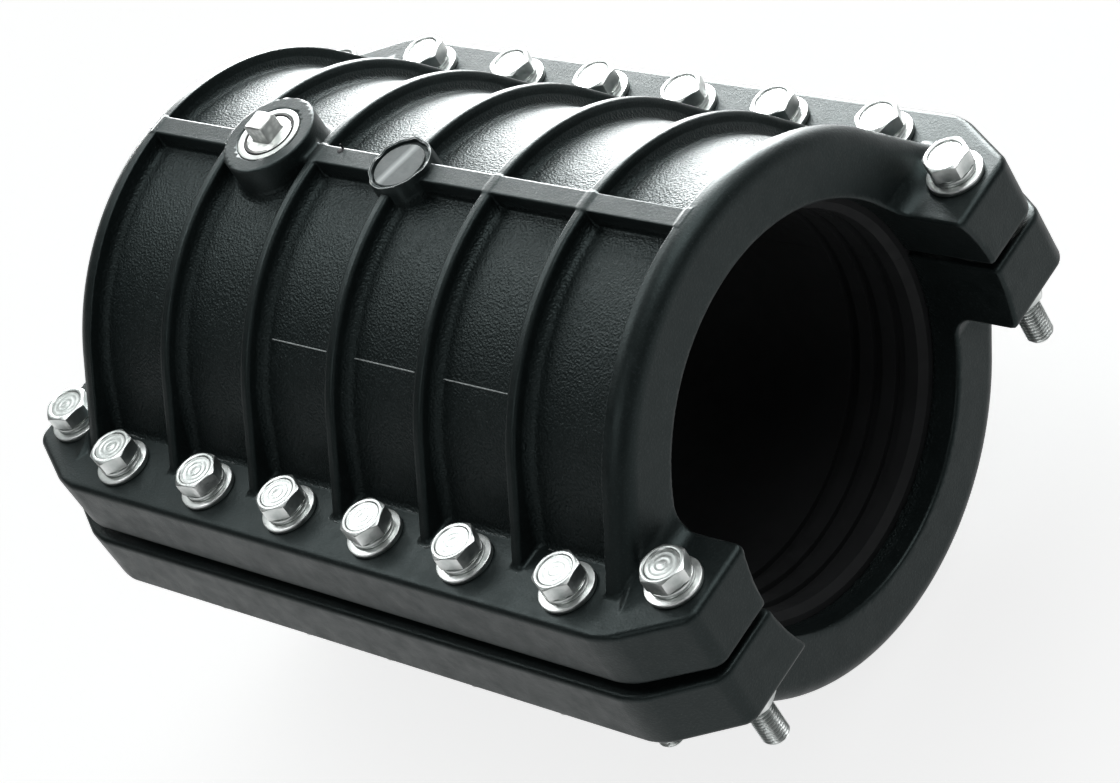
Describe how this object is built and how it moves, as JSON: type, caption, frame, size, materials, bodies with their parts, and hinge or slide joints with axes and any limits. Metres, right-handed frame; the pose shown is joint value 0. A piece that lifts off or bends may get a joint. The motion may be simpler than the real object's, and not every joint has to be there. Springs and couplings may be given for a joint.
{
  "type": "pipe repair clamp",
  "caption": "Two-half bolted repair clamp for a plastic pipe: ribbed moulded shells, rubber lining, end collars, bolted side flanges and a plugged port on the crown.",
  "frame": {"origin": "centre of the pipe bore, halfway along the clamp", "axes": "+X along the pipe, +Z along the bolts towards their heads and the plugged port, +Y to the back flange"},
  "size_m": [0.382, 0.28, 0.2452],
  "materials": {
    "moulded_plastic": "satin, finely grained black",
    "lining_rubber": "matte black",
    "seal_rubber": "matte black",
    "insert_metal": "machined, dull",
    "galvanised_steel": "galvanised",
    "zinc_steel": "bright zinc plated"
  },
  "bodies": {
    "lower_half": {"lower_shell": "moulded_plastic", "lower_lining": "lining_rubber", "nuts": "zinc_steel"},
    "upper_half": {"upper_shell": "moulded_plastic", "upper_lining": "lining_rubber", "port_insert": "insert_metal"},
    "plug_seal": {"plug_seal": "seal_rubber"},
    "vent_plug": {"vent_plug": "galvanised_steel"},
    "washers_front_1": {"flat_washer_front_1": "zinc_steel", "spring_washer_front_1": "zinc_steel"},
    "bolt_front_1": {"bolt_front_1": "zinc_steel"},
    "washers_front_2": {"flat_washer_front_2": "zinc_steel", "spring_washer_front_2": "zinc_steel"},
    "bolt_front_2": {"bolt_front_2": "zinc_steel"},
    "washers_front_3": {"flat_washer_front_3": "zinc_steel", "spring_washer_front_3": "zinc_steel"},
    "bolt_front_3": {"bolt_front_3": "zinc_steel"},
    "washers_front_4": {"flat_washer_front_4": "zinc_steel", "spring_washer_front_4": "zinc_steel"},
    "bolt_front_4": {"bolt_front_4": "zinc_steel"},
    "washers_front_5": {"flat_washer_front_5": "zinc_steel", "spring_washer_front_5": "zinc_steel"},
    "bolt_front_5": {"bolt_front_5": "zinc_steel"},
    "washers_front_6": {"flat_washer_front_6": "zinc_steel", "spring_washer_front_6": "zinc_steel"},
    "bolt_front_6": {"bolt_front_6": "zinc_steel"},
    "washers_front_7": {"flat_washer_front_7": "zinc_steel", "spring_washer_front_7": "zinc_steel"},
    "bolt_front_7": {"bolt_front_7": "zinc_steel"},
    "washers_front_8": {"flat_washer_front_8": "zinc_steel", "spring_washer_front_8": "zinc_steel"},
    "bolt_front_8": {"bolt_front_8": "zinc_steel"},
    "washers_back_1": {"flat_washer_back_1": "zinc_steel", "spring_washer_back_1": "zinc_steel"},
    "bolt_back_1": {"bolt_back_1": "zinc_steel"},
    "washers_back_2": {"flat_washer_back_2": "zinc_steel", "spring_washer_back_2": "zinc_steel"},
    "bolt_back_2": {"bolt_back_2": "zinc_steel"},
    "washers_back_3": {"flat_washer_back_3": "zinc_steel", "spring_washer_back_3": "zinc_steel"},
    "bolt_back_3": {"bolt_back_3": "zinc_steel"},
    "washers_back_4": {"flat_washer_back_4": "zinc_steel", "spring_washer_back_4": "zinc_steel"},
    "bolt_back_4": {"bolt_back_4": "zinc_steel"},
    "washers_back_5": {"flat_washer_back_5": "zinc_steel", "spring_washer_back_5": "zinc_steel"},
    "bolt_back_5": {"bolt_back_5": "zinc_steel"},
    "washers_back_6": {"flat_washer_back_6": "zinc_steel", "spring_washer_back_6": "zinc_steel"},
    "bolt_back_6": {"bolt_back_6": "zinc_steel"},
    "washers_back_7": {"flat_washer_back_7": "zinc_steel", "spring_washer_back_7": "zinc_steel"},
    "bolt_back_7": {"bolt_back_7": "zinc_steel"},
    "washers_back_8": {"flat_washer_back_8": "zinc_steel", "spring_washer_back_8": "zinc_steel"},
    "bolt_back_8": {"bolt_back_8": "zinc_steel"}
  },
  "joints": [
    {"name": "halves_part", "type": "slide", "parent": "lower_half", "child": "upper_half", "axis": [0, 0, 1], "range_m": [0, 0.15]},
    {"name": "plug_rise", "type": "slide", "parent": "upper_half", "child": "plug_seal", "axis": [0, 0, 1], "range_m": [0, 0.01451]},
    {"name": "plug_turn", "type": "hinge", "parent": "plug_seal", "child": "vent_plug", "pos_m": [-0.0756, 0, 0.12], "axis": [0, 0, 1], "range_deg": [0, 2885]},
    {"name": "bolt_rise_front_1", "type": "slide", "parent": "upper_half", "child": "washers_front_1", "axis": [0, 0, 1], "range_m": [0, 0.03325]},
    {"name": "bolt_turn_front_1", "type": "hinge", "parent": "washers_front_1", "child": "bolt_front_1", "pos_m": [-0.1741, -0.1044, 0.0359], "axis": [0, 0, 1], "range_deg": [0, 6845]},
    {"name": "bolt_rise_front_2", "type": "slide", "parent": "upper_half", "child": "washers_front_2", "axis": [0, 0, 1], "range_m": [0, 0.03325]},
    {"name": "bolt_turn_front_2", "type": "hinge", "parent": "washers_front_2", "child": "bolt_front_2", "pos_m": [-0.1305, -0.1186, 0.0359], "axis": [0, 0, 1], "range_deg": [0, 6845]},
    {"name": "bolt_rise_front_3", "type": "slide", "parent": "upper_half", "child": "washers_front_3", "axis": [0, 0, 1], "range_m": [0, 0.03325]},
    {"name": "bolt_turn_front_3", "type": "hinge", "parent": "washers_front_3", "child": "bolt_front_3", "pos_m": [-0.0756, -0.1186, 0.0359], "axis": [0, 0, 1], "range_deg": [0, 6845]},
    {"name": "bolt_rise_front_4", "type": "slide", "parent": "upper_half", "child": "washers_front_4", "axis": [0, 0, 1], "range_m": [0, 0.03325]},
    {"name": "bolt_turn_front_4", "type": "hinge", "parent": "washers_front_4", "child": "bolt_front_4", "pos_m": [-0.0252, -0.1186, 0.0359], "axis": [0, 0, 1], "range_deg": [0, 6845]},
    {"name": "bolt_rise_front_5", "type": "slide", "parent": "upper_half", "child": "washers_front_5", "axis": [0, 0, 1], "range_m": [0, 0.03325]},
    {"name": "bolt_turn_front_5", "type": "hinge", "parent": "washers_front_5", "child": "bolt_front_5", "pos_m": [0.0252, -0.1186, 0.0359], "axis": [0, 0, 1], "range_deg": [0, 6845]},
    {"name": "bolt_rise_front_6", "type": "slide", "parent": "upper_half", "child": "washers_front_6", "axis": [0, 0, 1], "range_m": [0, 0.03325]},
    {"name": "bolt_turn_front_6", "type": "hinge", "parent": "washers_front_6", "child": "bolt_front_6", "pos_m": [0.0756, -0.1186, 0.0359], "axis": [0, 0, 1], "range_deg": [0, 6845]},
    {"name": "bolt_rise_front_7", "type": "slide", "parent": "upper_half", "child": "washers_front_7", "axis": [0, 0, 1], "range_m": [0, 0.03325]},
    {"name": "bolt_turn_front_7", "type": "hinge", "parent": "washers_front_7", "child": "bolt_front_7", "pos_m": [0.1305, -0.1186, 0.0359], "axis": [0, 0, 1], "range_deg": [0, 6845]},
    {"name": "bolt_rise_front_8", "type": "slide", "parent": "upper_half", "child": "washers_front_8", "axis": [0, 0, 1], "range_m": [0, 0.03325]},
    {"name": "bolt_turn_front_8", "type": "hinge", "parent": "washers_front_8", "child": "bolt_front_8", "pos_m": [0.1741, -0.1044, 0.0359], "axis": [0, 0, 1], "range_deg": [0, 6845]},
    {"name": "bolt_rise_back_1", "type": "slide", "parent": "upper_half", "child": "washers_back_1", "axis": [0, 0, 1], "range_m": [0, 0.03325]},
    {"name": "bolt_turn_back_1", "type": "hinge", "parent": "washers_back_1", "child": "bolt_back_1", "pos_m": [-0.1741, 0.1044, 0.0359], "axis": [0, 0, 1], "range_deg": [0, 6845]},
    {"name": "bolt_rise_back_2", "type": "slide", "parent": "upper_half", "child": "washers_back_2", "axis": [0, 0, 1], "range_m": [0, 0.03325]},
    {"name": "bolt_turn_back_2", "type": "hinge", "parent": "washers_back_2", "child": "bolt_back_2", "pos_m": [-0.1305, 0.1186, 0.0359], "axis": [0, 0, 1], "range_deg": [0, 6845]},
    {"name": "bolt_rise_back_3", "type": "slide", "parent": "upper_half", "child": "washers_back_3", "axis": [0, 0, 1], "range_m": [0, 0.03325]},
    {"name": "bolt_turn_back_3", "type": "hinge", "parent": "washers_back_3", "child": "bolt_back_3", "pos_m": [-0.0756, 0.1186, 0.0359], "axis": [0, 0, 1], "range_deg": [0, 6845]},
    {"name": "bolt_rise_back_4", "type": "slide", "parent": "upper_half", "child": "washers_back_4", "axis": [0, 0, 1], "range_m": [0, 0.03325]},
    {"name": "bolt_turn_back_4", "type": "hinge", "parent": "washers_back_4", "child": "bolt_back_4", "pos_m": [-0.0252, 0.1186, 0.0359], "axis": [0, 0, 1], "range_deg": [0, 6845]},
    {"name": "bolt_rise_back_5", "type": "slide", "parent": "upper_half", "child": "washers_back_5", "axis": [0, 0, 1], "range_m": [0, 0.03325]},
    {"name": "bolt_turn_back_5", "type": "hinge", "parent": "washers_back_5", "child": "bolt_back_5", "pos_m": [0.0252, 0.1186, 0.0359], "axis": [0, 0, 1], "range_deg": [0, 6845]},
    {"name": "bolt_rise_back_6", "type": "slide", "parent": "upper_half", "child": "washers_back_6", "axis": [0, 0, 1], "range_m": [0, 0.03325]},
    {"name": "bolt_turn_back_6", "type": "hinge", "parent": "washers_back_6", "child": "bolt_back_6", "pos_m": [0.0756, 0.1186, 0.0359], "axis": [0, 0, 1], "range_deg": [0, 6845]},
    {"name": "bolt_rise_back_7", "type": "slide", "parent": "upper_half", "child": "washers_back_7", "axis": [0, 0, 1], "range_m": [0, 0.03325]},
    {"name": "bolt_turn_back_7", "type": "hinge", "parent": "washers_back_7", "child": "bolt_back_7", "pos_m": [0.1305, 0.1186, 0.0359], "axis": [0, 0, 1], "range_deg": [0, 6845]},
    {"name": "bolt_rise_back_8", "type": "slide", "parent": "upper_half", "child": "washers_back_8", "axis": [0, 0, 1], "range_m": [0, 0.03325]},
    {"name": "bolt_turn_back_8", "type": "hinge", "parent": "washers_back_8", "child": "bolt_back_8", "pos_m": [0.1741, 0.1044, 0.0359], "axis": [0, 0, 1], "range_deg": [0, 6845]}
  ],
  "couplings": [
    {"joint": "plug_turn", "follows": "plug_rise", "rad_per_m": 3463.7},
    {"joint": "bolt_turn_front_1", "follows": "bolt_rise_front_1", "rad_per_m": 3590.4},
    {"joint": "bolt_turn_front_2", "follows": "bolt_rise_front_2", "rad_per_m": 3590.4},
    {"joint": "bolt_turn_front_3", "follows": "bolt_rise_front_3", "rad_per_m": 3590.4},
    {"joint": "bolt_turn_front_4", "follows": "bolt_rise_front_4", "rad_per_m": 3590.4},
    {"joint": "bolt_turn_front_5", "follows": "bolt_rise_front_5", "rad_per_m": 3590.4},
    {"joint": "bolt_turn_front_6", "follows": "bolt_rise_front_6", "rad_per_m": 3590.4},
    {"joint": "bolt_turn_front_7", "follows": "bolt_rise_front_7", "rad_per_m": 3590.4},
    {"joint": "bolt_turn_front_8", "follows": "bolt_rise_front_8", "rad_per_m": 3590.4},
    {"joint": "bolt_turn_back_1", "follows": "bolt_rise_back_1", "rad_per_m": 3590.4},
    {"joint": "bolt_turn_back_2", "follows": "bolt_rise_back_2", "rad_per_m": 3590.4},
    {"joint": "bolt_turn_back_3", "follows": "bolt_rise_back_3", "rad_per_m": 3590.4},
    {"joint": "bolt_turn_back_4", "follows": "bolt_rise_back_4", "rad_per_m": 3590.4},
    {"joint": "bolt_turn_back_5", "follows": "bolt_rise_back_5", "rad_per_m": 3590.4},
    {"joint": "bolt_turn_back_6", "follows": "bolt_rise_back_6", "rad_per_m": 3590.4},
    {"joint": "bolt_turn_back_7", "follows": "bolt_rise_back_7", "rad_per_m": 3590.4},
    {"joint": "bolt_turn_back_8", "follows": "bolt_rise_back_8", "rad_per_m": 3590.4}
  ]
}
